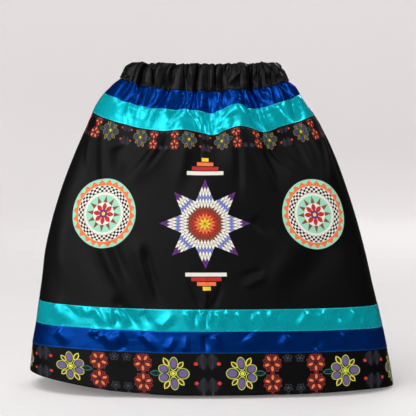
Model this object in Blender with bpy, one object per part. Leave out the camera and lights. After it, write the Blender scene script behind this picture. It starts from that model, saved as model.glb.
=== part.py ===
"""A ribbon skirt, filled out as worn and hollow: one named object for each piece that is cut and sewn.

Metres, +Z up. The front faces -Y and the wearer's right side is at -X. The origin is the middle of the
waist, half way up the waistband, where the wearer holds the skirt.

Every piece is a wall of cloth over one surface. A point of that surface has two cloth coordinates:
    down   how far down the cloth it is from the waist seam; the waistband is above it, below zero
    place  where it is round the skirt: 0 left side seam, 0.5 centre front, 1 right side seam,
           1.5 centre back, 2 the left side seam again
The surface is an oval at each distance down (SKIRT_SECTIONS, BAND_SECTIONS), with the gathers and
folds (FOLDS) added outwards and upwards. What lies on a panel, as the ribbons do, is made from the
panel's own points, moved out.
"""

import bmesh
import bpy
import numpy as np

# Cloth, as sewn
BAND_HEIGHT = 0.063  # elastic casing, top fold to waist seam
RIBBON_WIDTH = 0.050  # satin ribbon, of which the waist seam hides a little of the top one
TOP_RIBBON_SHOWS = 0.045
PRINT_BAND = 0.040  # printed border of the panel under the upper ribbons
SKIRT_LENGTH = 0.690  # waist seam to hem, at the centre front
HEM_BORDER = 0.095  # printed border under the lower ribbons

UPPER_LAP = TOP_RIBBON_SHOWS  # the lower edge of each ribbon, or the upper edge of the next
UPPER_EDGE = UPPER_LAP + RIBBON_WIDTH
PRINT_EDGE = UPPER_EDGE + PRINT_BAND
LOWER_BOTTOM = SKIRT_LENGTH - HEM_BORDER
LOWER_LAP = LOWER_BOTTOM - RIBBON_WIDTH
LOWER_TOP = LOWER_LAP - RIBBON_WIDTH

# Walls and seams
PANEL_WALL = 0.0015
RIBBON_WALL = 0.0010
SEAM_GAP = 0.0003
BAND_GAP = 0.0004  # under the waistband, where the panel and its ribbon meet it at a slant

# The mesh: columns across half the skirt, doubled where the cloth is gathered
COLUMNS = 34
GATHERED_CLOSER = 1.6  # how much closer the columns are at a gather than between two
BAND_ROWS = (-BAND_HEIGHT, -0.056, -0.038, -0.014, 0.0)
GATHERED_ROWS = (0.0, 0.5 * UPPER_LAP, UPPER_LAP, 0.5 * (UPPER_LAP + UPPER_EDGE), UPPER_EDGE, PRINT_EDGE)
SMOOTH_ROWS = (0.185, 0.240, 0.300, 0.365, 0.430, LOWER_TOP, LOWER_LAP, LOWER_BOTTOM, 0.643, SKIRT_LENGTH)

# Height of a line of the cloth at the centre and at each side seam, half widths and half depths there
SECTION_COLUMNS = ("down", "centre", "left_seam", "right_seam", "left", "right", "front", "back")
SKIRT_SECTIONS = (
    (0.000, -0.0325, -0.0035, -0.0104, 0.1925, 0.1885, 0.092, 0.094),
    (0.022, -0.0526, -0.0207, -0.0242, 0.2100, 0.2055, 0.096, 0.100),
    (0.045, -0.0750, -0.0380, -0.0390, 0.2300, 0.2205, 0.101, 0.107),
    (0.070, -0.0985, -0.0570, -0.0605, 0.2460, 0.2375, 0.106, 0.114),
    (0.095, -0.1225, -0.0790, -0.0850, 0.2585, 0.2535, 0.111, 0.121),
    (0.135, -0.1610, -0.1212, -0.1290, 0.2765, 0.2765, 0.118, 0.131),
    (0.185, -0.2095, -0.1769, -0.1850, 0.2995, 0.3010, 0.125, 0.140),
    (0.245, -0.2686, -0.2444, -0.2537, 0.3265, 0.3265, 0.132, 0.148),
    (0.315, -0.3375, -0.3215, -0.3320, 0.3530, 0.3530, 0.139, 0.155),
    (0.385, -0.4075, -0.3970, -0.4080, 0.3720, 0.3745, 0.146, 0.161),
    (0.445, -0.4670, -0.4610, -0.4700, 0.3800, 0.3890, 0.152, 0.166),
    (0.495, -0.5170, -0.5135, -0.5240, 0.3870, 0.4020, 0.157, 0.170),
    (0.545, -0.5660, -0.5655, -0.5770, 0.3935, 0.4140, 0.162, 0.174),
    (0.595, -0.6150, -0.6160, -0.6280, 0.4020, 0.4245, 0.167, 0.178),
    (0.643, -0.6625, -0.6530, -0.6740, 0.4060, 0.4335, 0.171, 0.181),
    (0.690, -0.7090, -0.6800, -0.7165, 0.4080, 0.4390, 0.175, 0.184),
)
BAND_SECTIONS = (
    (-0.063, 0.0310, 0.0340, 0.0340, 0.1640, 0.1660, 0.086, 0.088),
    (-0.056, 0.0245, 0.0280, 0.0280, 0.1735, 0.1715, 0.089, 0.091),
    (-0.038, 0.0065, 0.0190, 0.0170, 0.1805, 0.1770, 0.091, 0.093),
    (-0.014, -0.0180, 0.0065, 0.0030, 0.1870, 0.1830, 0.092, 0.094),
    (0.000, -0.0325, -0.0035, -0.0104, 0.1925, 0.1885, 0.092, 0.094),
)
SQUARENESS_AT_WAIST = 2.15  # 2 is an ellipse, more is fuller at the corners
SQUARENESS_AT_HEM = 2.45
SEAM_CURVE = 2.8  # how late a line of the cloth turns up or down towards the side seams

# Folds: out of the surface (depth) and up it (lift), each a soft bump that leans to one side on its
# way down and fades out between its top and its bottom. Place and lean are in halves of the skirt.
FOLD_COLUMNS = ("place", "width", "depth", "lift", "lean", "top", "bottom")
FRONT_GATHERS = (
    (0.040, 0.017, -0.0044, 0.0000, 0.005, -0.08, 0.06),
    (0.115, 0.018, -0.0063, 0.0015, 0.010, -0.08, 0.13),
    (0.178, 0.021, -0.0072, 0.0000, 0.000, -0.08, 0.15),
    (0.238, 0.016, -0.0050, 0.0012, 0.030, -0.08, 0.07),
    (0.302, 0.018, -0.0065, 0.0000, 0.010, -0.08, 0.16),
    (0.352, 0.014, -0.0037, 0.0010, 0.000, -0.08, 0.05),
    (0.405, 0.017, -0.0057, 0.0000, -0.005, -0.08, 0.10),
    (0.462, 0.018, -0.0063, 0.0010, -0.010, -0.08, 0.13),
    (0.505, 0.014, -0.0045, 0.0000, 0.000, -0.08, 0.06),
    (0.560, 0.023, -0.0075, -0.0010, -0.005, -0.08, 0.18),
    (0.615, 0.016, -0.0055, 0.0020, 0.000, -0.08, 0.08),
    (0.680, 0.015, -0.0042, 0.0000, 0.010, -0.08, 0.05),
    (0.732, 0.019, -0.0070, 0.0010, -0.010, -0.08, 0.17),
    (0.778, 0.014, -0.0040, 0.0000, 0.000, -0.08, 0.06),
    (0.828, 0.017, -0.0060, 0.0012, 0.000, -0.08, 0.11),
    (0.884, 0.017, -0.0055, 0.0000, -0.005, -0.08, 0.12),
    (0.945, 0.017, -0.0055, 0.0010, -0.005, -0.08, 0.10),
)
BACK_GATHERS = (
    (1.000, 0.015, -0.0037, 0.0000, 0.000, -0.08, 0.06),
    (1.062, 0.018, -0.0063, 0.0010, 0.008, -0.08, 0.12),
    (1.120, 0.015, -0.0045, 0.0000, 0.010, -0.08, 0.06),
    (1.186, 0.021, -0.0071, 0.0012, 0.012, -0.08, 0.17),
    (1.243, 0.016, -0.0052, 0.0000, 0.000, -0.08, 0.08),
    (1.300, 0.018, -0.0065, 0.0015, 0.005, -0.08, 0.14),
    (1.358, 0.014, -0.0040, 0.0000, 0.000, -0.08, 0.05),
    (1.412, 0.020, -0.0069, 0.0010, -0.005, -0.08, 0.18),
    (1.475, 0.016, -0.0056, 0.0000, 0.000, -0.08, 0.08),
    (1.530, 0.019, -0.0068, -0.0010, 0.005, -0.08, 0.16),
    (1.588, 0.014, -0.0042, 0.0000, 0.000, -0.08, 0.06),
    (1.645, 0.018, -0.0063, 0.0015, -0.008, -0.08, 0.13),
    (1.700, 0.016, -0.0050, 0.0000, 0.000, -0.08, 0.07),
    (1.762, 0.021, -0.0072, 0.0012, -0.010, -0.08, 0.17),
    (1.822, 0.015, -0.0045, 0.0000, -0.008, -0.08, 0.06),
    (1.880, 0.018, -0.0063, 0.0010, -0.010, -0.08, 0.13),
    (1.945, 0.017, -0.0050, 0.0000, 0.000, -0.08, 0.08),
)
FRONT_FOLDS = (
    (0.105, 0.055, 0.0120, 0.0000, 0.010, 0.05, 0.38),
    (0.200, 0.050, -0.0115, 0.0000, 0.020, 0.04, 0.34),
    (0.310, 0.050, 0.0050, 0.0000, 0.030, 0.03, 0.30),
    (0.420, 0.032, 0.0060, 0.0060, 0.000, 0.02, 0.22),
    (0.540, 0.028, -0.0040, -0.0070, -0.010, 0.00, 0.20),
    (0.640, 0.042, 0.0100, 0.0150, -0.020, -0.02, 0.22),
    (0.735, 0.030, -0.0045, -0.0080, 0.000, 0.02, 0.22),
    (0.790, 0.045, -0.0100, 0.0000, -0.020, 0.06, 0.32),
    (0.885, 0.052, 0.0115, 0.0000, -0.005, 0.06, 0.40),
    (0.500, 0.045, 0.0050, 0.0000, 0.000, 0.14, 0.46),
    (0.170, 0.095, 0.0060, 0.0095, 0.000, 0.36, 1.60),
    (0.300, 0.034, -0.0070, 0.0000, 0.060, 0.36, 1.20),
    (0.640, 0.070, -0.0050, 0.0000, 0.020, 0.40, 1.40),
    (0.860, 0.090, 0.0060, 0.0085, 0.000, 0.40, 1.50),
)
BACK_FOLDS = (
    (1.090, 0.050, 0.0090, 0.0000, 0.005, 0.05, 0.36),
    (1.190, 0.048, -0.0085, 0.0000, 0.015, 0.04, 0.33),
    (1.300, 0.040, 0.0070, 0.0060, 0.010, 0.01, 0.24),
    (1.412, 0.032, -0.0050, -0.0060, 0.000, 0.01, 0.22),
    (1.500, 0.050, 0.0070, 0.0050, 0.000, 0.02, 0.42),
    (1.600, 0.034, -0.0055, -0.0060, 0.000, 0.02, 0.24),
    (1.700, 0.042, 0.0080, 0.0080, -0.010, 0.01, 0.26),
    (1.800, 0.048, -0.0085, 0.0000, -0.015, 0.05, 0.34),
    (1.905, 0.050, 0.0090, 0.0000, 0.000, 0.05, 0.38),
    (1.240, 0.080, 0.0060, 0.0030, 0.000, 0.36, 1.50),
    (1.420, 0.045, -0.0070, 0.0000, 0.020, 0.38, 1.30),
    (1.720, 0.060, -0.0060, 0.0000, -0.030, 0.36, 1.30),
    (1.860, 0.080, 0.0050, 0.0040, 0.000, 0.40, 1.50),
)
FOLDS = FRONT_GATHERS + BACK_GATHERS + FRONT_FOLDS + BACK_FOLDS
FADE_IN = 0.35  # share of a fold's run over which it rises, and the rest of it is its fading
FADE_OUT = 0.65
GATHER_SPREADS = 0.8  # how much wider a fold is at its foot than at its head
BAND_DEEPENS = 0.40  # how much deeper the gathers are in the waistband than at its seam
BAND_DEEPENS_OVER = 0.020

# Waistband: its outer and inner face, out from the surface, at each of BAND_ROWS
BAND_OUTER = (0.0002, 0.0024, 0.0040, 0.0036, 0.0024)
BAND_INNER = (-0.0014, -0.0022, -0.0022, -0.0022, -0.0022)

BLACK_SATIN = {"color": (0.012, 0.012, 0.013, 1.0), "roughness": 0.5}
BLACK_BAND = {"color": (0.010, 0.010, 0.010, 1.0), "roughness": 0.6}
BLUE_SATIN = {"color": (0.008, 0.045, 0.42, 1.0), "roughness": 0.3}
TURQUOISE_SATIN = {"color": (0.0, 0.42, 0.47, 1.0), "roughness": 0.3}


def through(xs, ys, x):
    """A smooth curve through the points (xs, ys), read at x."""
    xs = np.asarray(xs, float)
    ys = np.asarray(ys, float)
    slope = np.gradient(ys, xs)
    k = np.clip(np.searchsorted(xs, x) - 1, 0, len(xs) - 2)
    width = xs[k + 1] - xs[k]
    t = (x - xs[k]) / width
    return (
        ys[k] * (1 + 2 * t) * (1 - t) ** 2
        + ys[k + 1] * t * t * (3 - 2 * t)
        + width * (slope[k] * t * (1 - t) ** 2 + slope[k + 1] * t * t * (t - 1))
    )


def smooth(t):
    t = np.clip(t, 0, 1)
    return t * t * (3 - 2 * t)


def section(down):
    """The oval's measures at one distance down the cloth, by column name."""
    table = np.array(BAND_SECTIONS if down < 0 else SKIRT_SECTIONS)
    return {
        name: float(through(table[:, 0], table[:, k], down))
        for k, name in enumerate(SECTION_COLUMNS)
    }


def oval(measures, squareness, places):
    """Points of the section's oval at these places, with the outward direction there."""
    angle = np.linspace(0, 2 * np.pi, 1441)
    across = -np.sign(np.cos(angle)) * np.abs(np.cos(angle)) ** (2 / squareness)
    out = -np.sign(np.sin(angle)) * np.abs(np.sin(angle)) ** (2 / squareness)
    x = across * np.where(across < 0, measures["left"], measures["right"])
    y = out * np.where(out < 0, measures["front"], measures["back"])
    walked = np.concatenate([[0], np.cumsum(np.hypot(np.diff(x), np.diff(y)))])
    half = len(angle) // 2
    turn = np.concatenate(
        [
            walked[: half + 1] / walked[half],
            1 + (walked[half + 1 :] - walked[half]) / (walked[-1] - walked[half]),
        ]
    )

    def at(values, where):
        return np.interp(where % 2, turn, values)

    step = 0.004
    run_x = at(x, places + step) - at(x, places - step)
    run_y = at(y, places + step) - at(y, places - step)
    length = np.hypot(run_x, run_y)
    return at(x, places), at(y, places), run_y / length, -run_x / length


def folds(down, places):
    """How far the folds take the cloth out and up at one distance down it."""
    out = np.zeros(len(places))
    up = np.zeros(len(places))
    for row in FOLDS:
        fold = dict(zip(FOLD_COLUMNS, row))
        run = fold["bottom"] - fold["top"]
        rises = smooth((down - fold["top"]) / (FADE_IN * run)) if fold["top"] > -BAND_HEIGHT else 1.0
        strength = rises * smooth((fold["bottom"] - down) / (FADE_OUT * run))
        strength *= 1 + BAND_DEEPENS * smooth(-down / BAND_DEEPENS_OVER)
        below = np.clip(down / fold["bottom"], 0, 1)
        away = (places - fold["place"] - fold["lean"] * below + 1) % 2 - 1
        bump = strength * np.exp(-((away / (fold["width"] * (1 + GATHER_SPREADS * below))) ** 2))
        out += fold["depth"] * bump
        up += fold["lift"] * bump
    return out, up


def cloth(down, places):
    """Points of the skirt's surface along one line of the cloth."""
    places = np.asarray(places, float)
    measures = section(down)
    share = smooth(down / SKIRT_LENGTH)
    squareness = SQUARENESS_AT_WAIST + (SQUARENESS_AT_HEM - SQUARENESS_AT_WAIST) * share
    x, y, out_x, out_y = oval(measures, squareness, places)
    side = np.where(x < 0, measures["left_seam"], measures["right_seam"])
    reach = np.abs(x) / np.where(x < 0, measures["left"], measures["right"])
    z = measures["centre"] + (side - measures["centre"]) * reach**SEAM_CURVE
    out, up = folds(down, places)
    return np.stack([x + out * out_x, y + out * out_y, z + up], axis=1)


def directions(down, places):
    """Unit vectors out of the cloth, down it and round it, along one line. The waistband's are level."""
    step = 0.002
    around = cloth(down, np.asarray(places) + step) - cloth(down, np.asarray(places) - step)
    level = down <= 0
    if level:
        along = np.tile((0.0, 0.0, -1.0), (len(places), 1))
    else:
        along = cloth(min(down + step, SKIRT_LENGTH), places) - cloth(down - step, places)
    away = np.cross(along, around)
    if level:
        away[:, 2] = 0
    return [vectors / np.linalg.norm(vectors, axis=1)[:, None] for vectors in (away, along, around)]


def column_places(first, count):
    """Places across the half of the skirt that starts at this seam, closer together at each gather."""
    fine = np.linspace(0, 1, 801)
    closeness = np.ones(len(fine))
    for row in FRONT_GATHERS if first == 0 else BACK_GATHERS:
        gather = dict(zip(FOLD_COLUMNS, row))
        closeness += GATHERED_CLOSER * np.exp(-(((fine + first - gather["place"]) / gather["width"]) ** 2))
    walked = np.concatenate([[0], np.cumsum(0.5 * (closeness[1:] + closeness[:-1]))])
    return first + np.interp(np.linspace(0, walked[-1], count + 1), walked, fine)


def new_sheet(first, rows, columns, gathered_rows=0):
    """Half of the skirt as a flat sheet laid onto the surface. Rows above gathered_rows have twice the
    columns. Each vertex keeps its distance down the cloth and the directions out of and down it."""
    bm = bmesh.new()
    bmesh.ops.create_grid(bm, x_segments=columns, y_segments=len(rows) - 1, size=0.5)
    for v in bm.verts:
        v.co = (v.co.x + 0.5, round((0.5 - v.co.y) * (len(rows) - 1)), 0)
    if gathered_rows:
        across = [
            e
            for e in bm.edges
            if e.verts[0].co.y == e.verts[1].co.y and e.verts[0].co.y < gathered_rows
        ]
        bmesh.ops.subdivide_edges(bm, edges=across, cuts=1, use_grid_fill=True)
    down_at = bm.verts.layers.float.new("down")
    away_at = bm.verts.layers.float_vector.new("away")
    along_at = bm.verts.layers.float_vector.new("along")
    most = 2 * columns if gathered_rows else columns
    places = column_places(first, most)
    points = {}
    for number, down in enumerate(rows):
        line = [v for v in bm.verts if round(v.co.y) == number]
        column = [round(v.co.x * most) for v in line]
        where = places[column]
        away, along, around = directions(down, where)
        inset = 0.5 * SEAM_GAP * (np.equal(column, 0) * 1.0 - np.equal(column, most))
        points[number] = line, cloth(down, where) + inset[:, None] * around
        for v, out, run in zip(line, away, along):
            v[down_at] = down
            v[away_at] = out
            v[along_at] = run
    for line, there in points.values():
        for v, point in zip(line, there):
            v.co = point
    bmesh.ops.triangulate(bm, faces=bm.faces[:], quad_method="SHORT_EDGE")
    return bm


def wall(sheet, name, finish, near, far, top=-1.0, bottom=1.0, trim_top=0.0, trim_bottom=0.0):
    """An object whose wall lies between two distances out of the sheet. Near and far are numbers, or
    one for each row of the waistband. Trims are taken off the edges along the cloth."""
    bm = sheet.copy()
    down_at = bm.verts.layers.float["down"]
    away_at = bm.verts.layers.float_vector["away"]
    along_at = bm.verts.layers.float_vector["along"]
    slack = 1e-6
    outside = [
        f
        for f in bm.faces
        if any(not top - slack < v[down_at] < bottom + slack for v in f.verts)
    ]
    bmesh.ops.delete(bm, geom=outside, context="FACES")
    highest = min(v[down_at] for v in bm.verts)
    lowest = max(v[down_at] for v in bm.verts)
    for v in bm.verts:
        if v[down_at] == highest:
            v.co += v[along_at] * trim_top
        if v[down_at] == lowest:
            v.co -= v[along_at] * trim_bottom

    def distance(of, v):
        return of if isinstance(of, float) else float(np.interp(v[down_at], BAND_ROWS, of))

    shell = bmesh.ops.extrude_face_region(bm, geom=bm.faces[:], use_keep_orig=True)
    moved = {item for item in shell["geom"] if isinstance(item, bmesh.types.BMVert)}
    for v in bm.verts:
        v.co += v[away_at] * distance(far if v in moved else near, v)
    bmesh.ops.triangulate(bm, faces=bm.faces[:])
    bmesh.ops.recalc_face_normals(bm, faces=bm.faces[:])
    mesh = bpy.data.meshes.new(name)
    bm.to_mesh(mesh)
    bm.free()
    mesh.shade_smooth()
    mesh.set_sharp_from_angle(angle=np.radians(50))
    mesh.materials.append(finish)
    piece = bpy.data.objects.new(name, mesh)
    bpy.context.scene.collection.objects.link(piece)
    return piece


def satin(name, color, roughness):
    material = bpy.data.materials.new(name)
    material.use_nodes = True
    shader = material.node_tree.nodes["Principled BSDF"]
    shader.inputs["Base Color"].default_value = color
    shader.inputs["Roughness"].default_value = roughness
    shader.inputs["Metallic"].default_value = 0.0
    return material


def make_half(side, first, finishes):
    """The panel, its four ribbons and the waistband of the front or of the back."""
    panel = new_sheet(first, GATHERED_ROWS + SMOOTH_ROWS, COLUMNS, len(GATHERED_ROWS) - 1)
    wall(panel, f"{side}_panel", finishes["panel"], -PANEL_WALL, 0.0)
    inner = SEAM_GAP
    outer = SEAM_GAP + RIBBON_WALL
    lap = 0.5 * SEAM_GAP
    for name, finish, top, bottom, trim_top, trim_bottom in (
        ("upper_blue_ribbon", "blue", 0.0, UPPER_LAP, 0.0, lap),
        ("upper_turquoise_ribbon", "turquoise", UPPER_LAP, UPPER_EDGE, lap, 0.0),
        ("lower_turquoise_ribbon", "turquoise", LOWER_TOP, LOWER_LAP, 0.0, lap),
        ("lower_blue_ribbon", "blue", LOWER_LAP, LOWER_BOTTOM, lap, 0.0),
    ):
        ribbon = f"{side}_{name}"
        wall(panel, ribbon, finishes[finish], inner, outer, top, bottom, trim_top, trim_bottom)
    panel.free()
    band = new_sheet(first, BAND_ROWS, 2 * COLUMNS)
    wall(band, f"{side}_waistband", finishes["band"], BAND_INNER, BAND_OUTER, trim_bottom=BAND_GAP)
    band.free()


def main():
    for old in list(bpy.data.objects):
        bpy.data.objects.remove(old)
    finishes = {
        "panel": satin("black_satin", **BLACK_SATIN),
        "band": satin("black_band", **BLACK_BAND),
        "blue": satin("blue_satin", **BLUE_SATIN),
        "turquoise": satin("turquoise_satin", **TURQUOISE_SATIN),
    }
    make_half("front", 0, finishes)
    make_half("back", 1, finishes)


main()
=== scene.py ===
# %% [markdown]
# # A ribbon skirt, dressed
#
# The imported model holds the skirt's pieces as plain walls in the right place. This script gives each
# of them its cloth: a thin shell with fine gathers and creases, and a material that has the print,
# the shine and the weave. Each cell makes one thing. Lengths are metres, and the front faces -Y.

import math

import bmesh
import bpy
import numpy as np
from mathutils import Matrix, Vector


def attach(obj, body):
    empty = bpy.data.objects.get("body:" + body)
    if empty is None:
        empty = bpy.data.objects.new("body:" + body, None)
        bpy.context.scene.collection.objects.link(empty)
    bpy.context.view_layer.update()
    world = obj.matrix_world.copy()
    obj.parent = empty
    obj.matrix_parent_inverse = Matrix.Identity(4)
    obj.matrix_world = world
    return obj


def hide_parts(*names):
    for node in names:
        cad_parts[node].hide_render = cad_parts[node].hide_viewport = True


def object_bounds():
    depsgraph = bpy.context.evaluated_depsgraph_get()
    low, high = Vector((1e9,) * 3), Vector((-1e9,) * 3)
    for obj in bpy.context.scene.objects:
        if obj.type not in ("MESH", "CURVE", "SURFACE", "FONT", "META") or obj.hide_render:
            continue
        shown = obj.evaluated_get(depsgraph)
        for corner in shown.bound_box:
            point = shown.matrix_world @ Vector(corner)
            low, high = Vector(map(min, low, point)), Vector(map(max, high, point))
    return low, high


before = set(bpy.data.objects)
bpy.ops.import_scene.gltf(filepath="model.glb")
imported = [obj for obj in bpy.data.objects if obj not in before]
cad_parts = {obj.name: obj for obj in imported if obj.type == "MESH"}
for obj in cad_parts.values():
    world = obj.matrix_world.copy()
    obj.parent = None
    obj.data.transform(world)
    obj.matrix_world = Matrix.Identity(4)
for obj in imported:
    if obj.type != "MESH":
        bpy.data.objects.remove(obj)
cad_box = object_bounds()
print("nodes:", len(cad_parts), "box:", [tuple(round(v, 3) for v in corner) for corner in cad_box])

# %% [markdown]
# ## The cut
#
# A ribbon skirt is two A-line panels gathered into an elastic casing, with satin ribbons sewn across
# them while they are still flat. So a place on the skirt is best named as on the cloth: how far DOWN
# it is from the waist seam (the casing is above it, below zero), and at which PLACE round the skirt it
# lies: 0 at the left side seam, 0.5 at the centre front, 1 at the right seam, 1.5 at the centre back.

# %% Measures of the cut
BAND_HEIGHT = 0.063
RIBBON_WIDTH = 0.050
TOP_RIBBON_SHOWS = 0.045  # the waist seam hides the rest of it
SKIRT_LENGTH = 0.690
HEM_BORDER = 0.095  # printed border under the lower ribbons

UPPER_LAP = TOP_RIBBON_SHOWS
UPPER_EDGE = UPPER_LAP + RIBBON_WIDTH
LOWER_BOTTOM = SKIRT_LENGTH - HEM_BORDER
LOWER_LAP = LOWER_BOTTOM - RIBBON_WIDTH
LOWER_TOP = LOWER_LAP - RIBBON_WIDTH

CUT_AT_TOP = 0.70  # width of a panel as it is cut, before it is gathered
CUT_AT_HEM = 1.00
PRINT_AT_HEM = 0.94  # the same width in the measure of the prints, which come out that little wider

PANEL_CLOTH = 0.0006
RIBBON_CLOTH = 0.0004
BAND_CLOTH = 0.0006
SEAM = 0.00005  # half the gap between the front and the back, as a share of half the skirt


def cut_width(down, at_hem=CUT_AT_HEM):
    """Width of a panel as it is cut, at one distance down."""
    return CUT_AT_TOP + (at_hem - CUT_AT_TOP) * down / SKIRT_LENGTH


def table(columns, units, rows):
    """A table typed as whole numbers, a row a line. Each column is divided by its units, such as 1000
    for millimetres, and each row comes back as a dictionary."""
    values = np.array(rows.split(), float).reshape(-1, len(units)) / units
    return [dict(zip(columns.split(), row)) for row in values.tolist()]


print("lower ribbons from", round(LOWER_TOP, 3), "to", round(LOWER_BOTTOM, 3), "of", SKIRT_LENGTH)

# %% [markdown]
# ## The shape of the filled-out skirt
#
# The shape could be sculpted, but a garment is easier to keep true as a rule: at each distance down
# the cloth it is an oval, and gathers and folds are soft bumps added to it. These are the ovals: the
# height of that line of the cloth at the centre and at each side seam, and the oval's half sizes.
# The tables are typed in tenths of a millimetre.

# %% Ovals
SECTION_COLUMNS = "down centre left_seam right_seam left right front back"
TENTHS = 10000
SKIRT_SECTIONS = table(SECTION_COLUMNS, [TENTHS] * 8, """
   0  -325   -35  -104 1925 1885  920  940
 220  -526  -207  -242 2100 2055  960 1000
 450  -750  -380  -390 2300 2205 1010 1070
 700  -985  -570  -605 2460 2375 1060 1140
 950 -1225  -790  -850 2585 2535 1110 1210
1350 -1610 -1212 -1290 2765 2765 1180 1310
1850 -2095 -1769 -1850 2995 3010 1250 1400
2450 -2686 -2444 -2537 3265 3265 1320 1480
3150 -3375 -3215 -3320 3530 3530 1390 1550
3850 -4075 -3970 -4080 3720 3745 1460 1610
4450 -4670 -4610 -4700 3800 3890 1520 1660
4950 -5170 -5135 -5240 3870 4020 1570 1700
5450 -5660 -5655 -5770 3935 4140 1620 1740
5950 -6150 -6160 -6280 4020 4245 1670 1780
6430 -6625 -6530 -6740 4060 4335 1710 1810
6900 -7090 -6800 -7165 4080 4390 1750 1840
""")
BAND_SECTIONS = table(SECTION_COLUMNS, [TENTHS] * 8, """
-630  310 340  340 1640 1660 860 880
-560  245 280  280 1735 1715 890 910
-380   65 190  170 1805 1770 910 930
-140 -180  65   30 1870 1830 920 940
   0 -325 -35 -104 1925 1885 920 940
""")
SQUARENESS_AT_WAIST = 2.15  # 2 is an ellipse, more is fuller at the corners
SQUARENESS_AT_HEM = 2.45
SEAM_CURVE = 2.8  # how late a line of the cloth turns up or down towards the side seams
OVAL_STEPS = 1440
print("measures at", len(SKIRT_SECTIONS) + len(BAND_SECTIONS), "distances down")

# %% [markdown]
# ## An oval anywhere
#
# A smooth curve through the measures gives the oval in between. A place on the skirt is a share of the
# way round. So its point is found by walking along the oval's edge, and not by an angle, which would
# spread the cloth unevenly.

# %% Oval at any distance down
def through(xs, ys, x):
    """A smooth curve through the points (xs, ys), read at x."""
    xs = np.asarray(xs, float)
    ys = np.asarray(ys, float)
    slope = np.gradient(ys, xs)
    k = np.clip(np.searchsorted(xs, x) - 1, 0, len(xs) - 2)
    width = xs[k + 1] - xs[k]
    t = (x - xs[k]) / width
    return (
        ys[k] * (1 + 2 * t) * (1 - t) ** 2
        + ys[k + 1] * t * t * (3 - 2 * t)
        + width * (slope[k] * t * (1 - t) ** 2 + slope[k + 1] * t * t * (t - 1))
    )


def smooth(t):
    """0 below 0, 1 above 1, and a soft rise between them."""
    t = np.clip(t, 0, 1)
    return t * t * (3 - 2 * t)


def section(down):
    """The oval's measures at one distance down the cloth, by column name."""
    rows = BAND_SECTIONS if down < 0 else SKIRT_SECTIONS
    downs = [row["down"] for row in rows]
    return {name: float(through(downs, [row[name] for row in rows], down)) for name in rows[0]}


def oval(measures, squareness, places):
    """Points of an oval at these places, with the outward direction there."""
    angle = np.linspace(0, 2 * np.pi, OVAL_STEPS + 1)
    across = -np.sign(np.cos(angle)) * np.abs(np.cos(angle)) ** (2 / squareness)
    out = -np.sign(np.sin(angle)) * np.abs(np.sin(angle)) ** (2 / squareness)
    x = across * np.where(across < 0, measures["left"], measures["right"])
    y = out * np.where(out < 0, measures["front"], measures["back"])
    walked = np.concatenate([[0], np.cumsum(np.hypot(np.diff(x), np.diff(y)))])
    half = len(angle) // 2
    rest = 1 + (walked[half + 1 :] - walked[half]) / (walked[-1] - walked[half])
    turn = np.concatenate([walked[: half + 1] / walked[half], rest])

    def at(values, where):
        return np.interp(where % 2, turn, values)

    step = 0.004
    run_x = at(x, places + step) - at(x, places - step)
    run_y = at(y, places + step) - at(y, places - step)
    length = np.hypot(run_x, run_y)
    return at(x, places), at(y, places), run_y / length, -run_x / length


halfway = section(0.5 * SKIRT_LENGTH)
print("halfway down:", {name: round(value, 3) for name, value in halfway.items()})

# %% [markdown]
# ## Gathers and folds
#
# Elastic pulls the cloth into gathers at the waist, and each gather runs on down the skirt as a soft
# fold. A row is one of them: where it is and how wide, how far it takes the cloth out (or in) and up,
# how far it leans on its way down, and where it starts and ends. Place, width and lean are in
# thousandths of half the skirt, depth and lift in tenths of a millimetre, top and bottom in millimetres.

# %% Gathers and folds
FOLD_COLUMNS = "place width depth lift lean top bottom"
FOLD_UNITS = (1000, 1000, TENTHS, TENTHS, 1000, 1000, 1000)
GATHERS = table(FOLD_COLUMNS, FOLD_UNITS, """
  40 17 -44   0   5 -80  60
 115 18 -63  15  10 -80 130
 178 21 -72   0   0 -80 150
 238 16 -50  12  30 -80  70
 302 18 -65   0  10 -80 160
 352 14 -37  10   0 -80  50
 405 17 -57   0  -5 -80 100
 462 18 -63  10 -10 -80 130
 505 14 -45   0   0 -80  60
 560 23 -75 -10  -5 -80 180
 615 16 -55  20   0 -80  80
 680 15 -42   0  10 -80  50
 732 19 -70  10 -10 -80 170
 778 14 -40   0   0 -80  60
 828 17 -60  12   0 -80 110
 884 17 -55   0  -5 -80 120
 945 17 -55  10  -5 -80 100
1000 15 -37   0   0 -80  60
1062 18 -63  10   8 -80 120
1120 15 -45   0  10 -80  60
1186 21 -71  12  12 -80 170
1243 16 -52   0   0 -80  80
1300 18 -65  15   5 -80 140
1358 14 -40   0   0 -80  50
1412 20 -69  10  -5 -80 180
1475 16 -56   0   0 -80  80
1530 19 -68 -10   5 -80 160
1588 14 -42   0   0 -80  60
1645 18 -63  15  -8 -80 130
1700 16 -50   0   0 -80  70
1762 21 -72  12 -10 -80 170
1822 15 -45   0  -8 -80  60
1880 18 -63  10 -10 -80 130
1945 17 -50   0   0 -80  80
""")
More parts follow.
